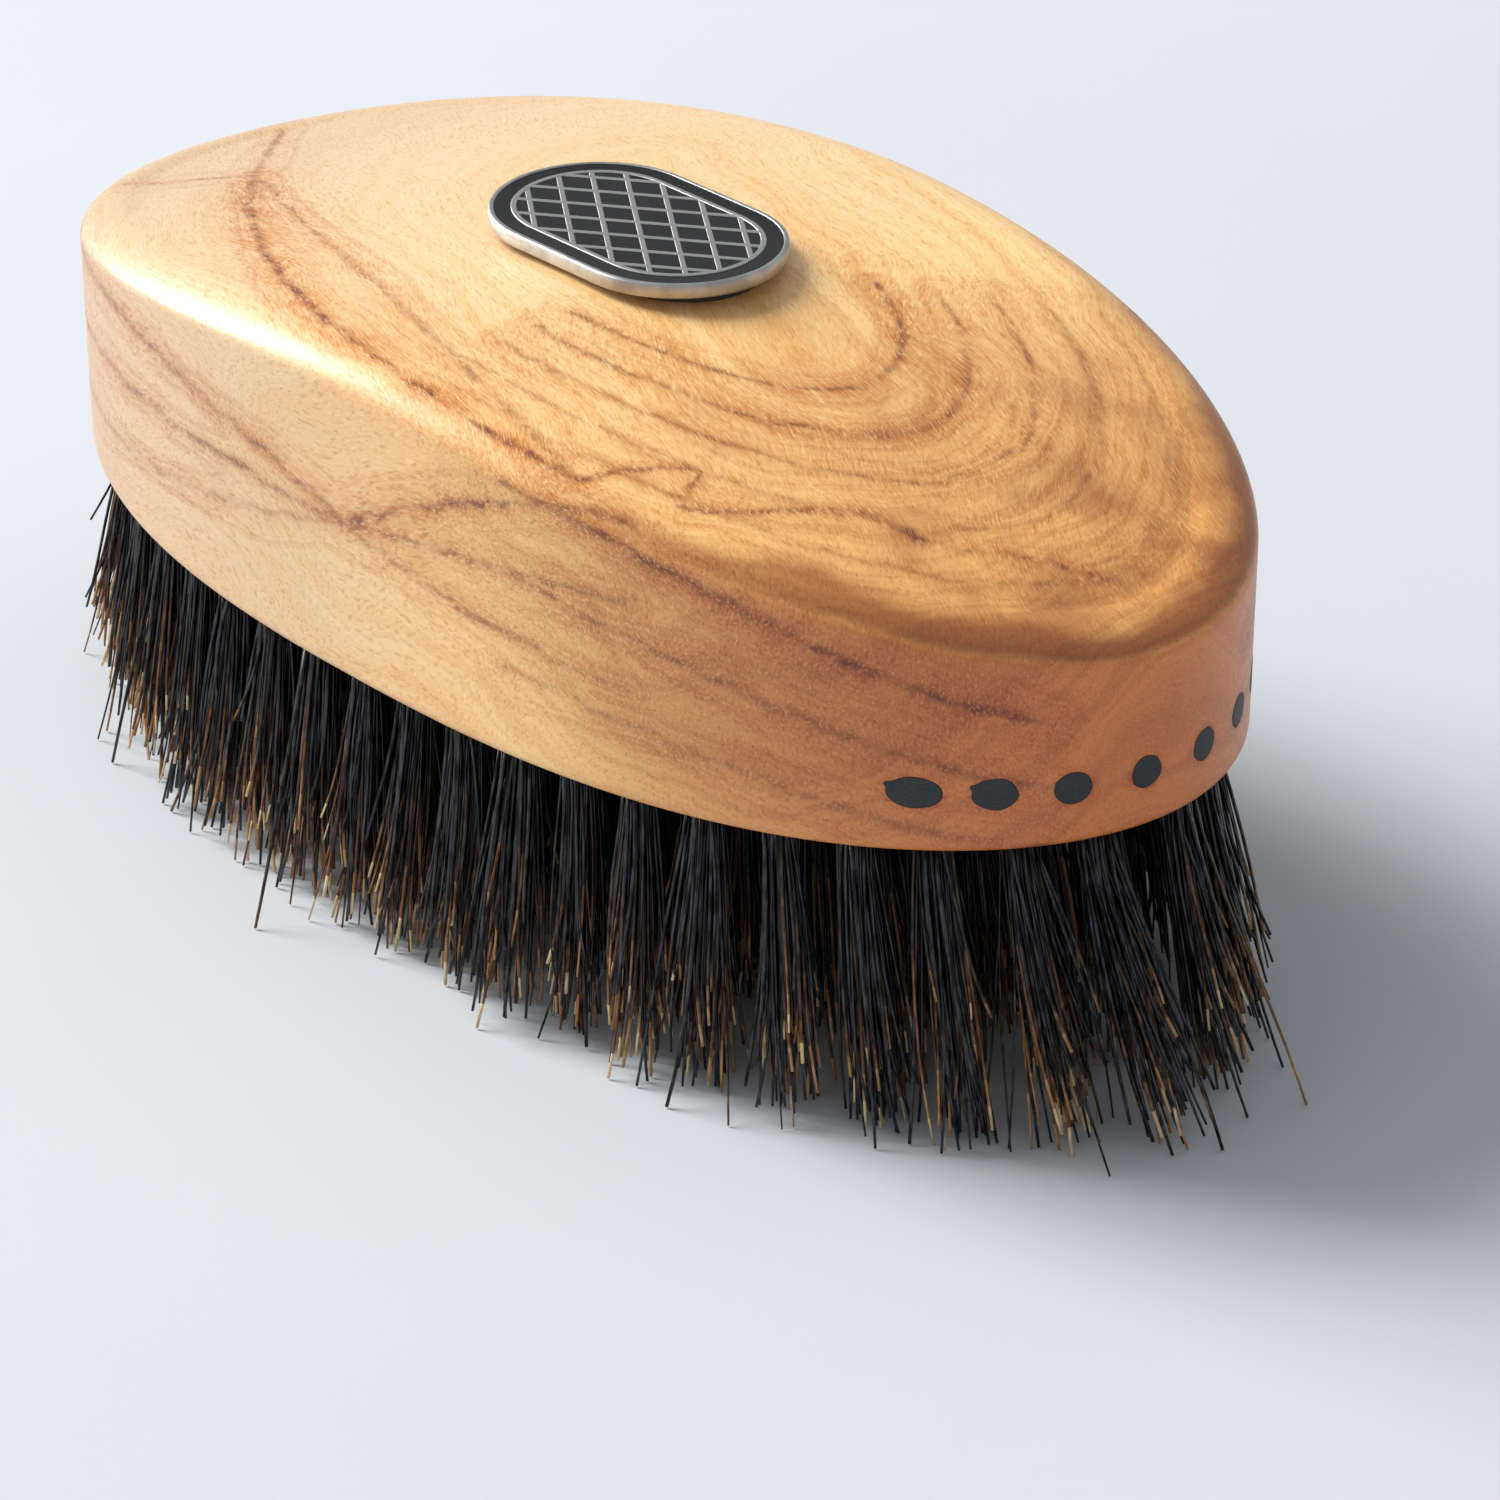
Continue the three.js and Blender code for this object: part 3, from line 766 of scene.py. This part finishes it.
def strand_mesh(paths, radii, kinds):
    """Square-section tapered strands: paths is strands x points x 3."""
    count, rows = paths.shape[0], paths.shape[1]
    along = np.gradient(paths, axis=1)
    along /= np.linalg.norm(along, axis=2, keepdims=True)
    side = np.cross(along, np.array([0.31, 0.95, 0.02]))
    side /= np.linalg.norm(side, axis=2, keepdims=True)
    other = np.cross(along, side)
    turn = np.arange(SIDES) / SIDES * 2 * np.pi
    cos, sin = (wave[None, None, :, None] for wave in (np.cos(turn), np.sin(turn)))
    ring = side[:, :, None] * cos + other[:, :, None] * sin
    points = paths[:, :, None] + ring * radii[:, :, None, None]
    base = (np.arange(count) * rows * SIDES)[:, None, None]
    row = (np.arange(rows - 1) * SIDES)[None, :, None]
    j = np.arange(SIDES)[None, None, :]
    k = (j + 1) % SIDES
    quads = np.stack([base + row + j, base + row + k, base + row + SIDES + k, base + row + SIDES + j], -1)
    walls = quads.reshape(-1, 4)
    wall_kinds = np.repeat(kinds[:, :, None], SIDES, axis=2).reshape(-1)
    starts = np.arange(count)[:, None] * rows * SIDES
    bottom = starts + np.arange(SIDES)[None, ::-1]
    top = starts + (rows - 1) * SIDES + np.arange(SIDES)[None]
    faces = np.concatenate([walls, bottom, top])
    face_kinds = np.concatenate([wall_kinds, kinds[:, 0], kinds[:, -1]])
    return points.reshape(-1, 3), faces, face_kinds


def tuft_strands(root, row_angle, count):
    """Paths, radii and colours of one tuft's bristles."""
    i = np.arange(count)
    spread = np.sqrt((i + 0.5) / count)
    turn = i * 2.39996 + rng.uniform(0, 6.28)
    disc = np.stack([spread * np.cos(turn), spread * np.sin(turn)], -1) + rng.normal(0, 0.07, (count, 2))
    start = root + disc * 1.2
    cos, sin = math.cos(row_angle), math.sin(row_angle)
    local = disc @ np.array([[cos, -sin], [sin, cos]])
    tip_local = local * np.array([2.5, 2.1]) * rng.uniform(0.75, 1.2) + rng.normal(0, 0.5, (count, 2))
    tip = tip_local @ np.array([[cos, sin], [-sin, cos]])
    lean = np.array([END_SPLAY * (root[0] / A) ** 3, SIDE_SPLAY * (root[1] / B) ** 3])
    lean = lean + rng.normal(0, 0.55, 2)
    stray = rng.random(count) < 0.04 + 0.12 * (root[0] / A) ** 4
    reach = np.where(stray, rng.uniform(1.3, 2.4, count), 1.0)[:, None]
    end = root + lean + tip * reach
    z_top = under_z(root[0]) + 0.6
    tuft_short = abs(rng.normal(0, 0.6))
    z_end = 0.15 + tuft_short + 6.5 * rng.random(count) ** 1.6
    z_end += np.where(rng.random(count) < 0.16, rng.uniform(1.5, 7.0, count), 0)
    z_end = np.where(stray | (rng.random(count) < 0.06), 0.15, z_end)
    s = LEVELS[None, :, None]
    ease = s**1.3
    flat = start[:, None] * (1 - ease) + end[:, None] * ease
    bow = rng.normal(0, 0.32, (count, 1, 2)) * np.sin(np.pi * s)
    hook = rng.normal(0, 0.30, (count, 1, 2)) * np.clip(s - 0.65, 0, 1) ** 2 * 9
    flat = flat + bow + hook
    z = z_top + (z_end[:, None, None] - z_top) * s
    paths = np.concatenate([flat, z], -1)
    thick = np.clip(rng.normal(0.142, 0.032, count), 0.085, 0.25)[:, None]
    radii = thick * (1 - 0.25 * LEVELS[None, :] ** 2)
    toward_left = 0.5 - 0.5 * math.tanh((root[0] - 12) / 26)
    is_brown_tuft = rng.random() < 0.25
    pick = rng.random(count)
    brown_share = (0.13 + 0.20 * toward_left) * (1.7 if is_brown_tuft else 0.9)
    kinds = np.full((count, SEGMENTS), BLACK)
    fade = rng.integers(0, 3, count)
    for j in range(count):
        if pick[j] < brown_share:
            kinds[j, fade[j] :] = DARK
            kinds[j, 2 + fade[j] :] = BROWN
            kinds[j, 5:] = AMBER if fade[j] < 2 else BROWN
            kinds[j, 6:] = CREAM if fade[j] != 1 else AMBER
        elif pick[j] < brown_share + 0.16:
            kinds[j, 2 + fade[j] :] = DARK
            kinds[j, 5:] = BROWN
            kinds[j, 6:] = AMBER if fade[j] else CREAM
        elif pick[j] < brown_share + 0.30:
            kinds[j, 4:] = DARK
            kinds[j, 6:] = BROWN
    return paths, radii, kinds


def bristle_row(node, piece_name, count):
    roots = tuft_roots(node)
    paths, radii, kinds = [], [], []
    for i, root in enumerate(roots):
        before, after = roots[max(0, i - 1)], roots[min(len(roots) - 1, i + 1)]
        angle = math.atan2(after[1] - before[1], after[0] - before[0])
        made = tuft_strands(root, angle, count)
        for store, value in zip((paths, radii, kinds), made):
            store.append(value)
    joined = [np.concatenate(store) for store in (paths, radii, kinds)]
    points, faces, face_kinds = strand_mesh(*joined)
    piece = make_object(piece_name, points, faces.tolist(), "bristle", BRISTLES, face_kinds)
    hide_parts(node)


for number in CHANNELS:
    bristle_row(f"tuft_row_{number}", f"bristle_row_{number}", DRAWN_STRANDS)
for name in ("near_edge", "near_fill", "far_fill", "far_edge"):
    bristle_row("tuft_row_" + name, "bristle_row_" + name, SET_STRANDS)

# ---------------------------------------------------------------- floor, lights and camera

FLOOR_HALF = 4.0
floor_corners = [(x * FLOOR_HALF, y * FLOOR_HALF, 0) for x, y in ((-1, -1), (1, -1), (1, 1), (-1, 1))]
floor_mesh = bpy.data.meshes.new("floor")
floor_mesh.from_pydata(floor_corners, [], [(0, 1, 2, 3)])
floor_mesh.materials.append(floor_paper())
floor = bpy.data.objects.new("floor", floor_mesh)
bpy.context.scene.collection.objects.link(floor)


def area_light(name, toward, distance, width, height, watts, colour, aim=(0, 0, 0.03)):
    """toward is the light's (azimuth from +X, elevation) in degrees, as seen from the brush."""
    azimuth, elevation = (math.radians(v) for v in toward)
    level = math.cos(elevation)
    offset = Vector((math.cos(azimuth) * level, math.sin(azimuth) * level, math.sin(elevation)))
    data = bpy.data.lights.new(name, "AREA")
    data.shape = "RECTANGLE"
    data.size = width
    data.size_y = height
    data.energy = watts
    data.color = colour
    light = bpy.data.objects.new(name, data)
    light.location = Vector(aim) + offset * distance
    light.rotation_mode = "QUATERNION"
    light.rotation_quaternion = (-offset).to_track_quat("-Z", "Y")
    bpy.context.scene.collection.objects.link(light)
    return light


WINDOW = 200  # azimuth that both main lights come from
WINDOW_COLOUR = (1.0, 0.99, 0.975)
# the key only lights, and the sheen only shows in reflections
key = area_light("key", (WINDOW, 39), 2.3, 0.9, 1.8, 93, WINDOW_COLOUR)
key.visible_glossy = False
sheen = area_light("sheen", (WINDOW, 18), 2.3, 0.9, 2.0, 92, WINDOW_COLOUR)
sheen.visible_diffuse = False
fill = area_light("fill", (-84, 13), 1.6, 2.0, 0.7, 1.0, (1.0, 0.975, 0.955))
fill.visible_glossy = False

world = bpy.data.worlds.new("studio")
world.use_nodes = True
background = world.node_tree.nodes["Background"]
background.inputs["Color"].default_value = (0.93, 0.965, 1.0, 1)
background.inputs["Strength"].default_value = 0.5
bpy.context.scene.world = world

# The camera's values were fitted to the photo.
AZIMUTH = math.radians(47.37)
ELEVATION = math.radians(29.0)
TARGET = Vector((0.04403, -0.02897, 0.035))
DISTANCE = 0.37649
LENS = 131.07
level = math.cos(ELEVATION)
back = Vector((math.sin(AZIMUTH) * level, -math.cos(AZIMUTH) * level, math.sin(ELEVATION)))
camera_data = bpy.data.cameras.new("camera")
camera_data.sensor_width = 36
camera_data.lens = LENS
camera_data.clip_start = 0.01
camera_data.clip_end = 20
camera = bpy.data.objects.new("camera", camera_data)
camera.location = TARGET + back * DISTANCE
camera.rotation_mode = "QUATERNION"
camera.rotation_quaternion = (-back).to_track_quat("-Z", "Y")
bpy.context.scene.collection.objects.link(camera)
bpy.context.scene.camera = camera
bpy.context.scene.view_settings.view_transform = "Standard"
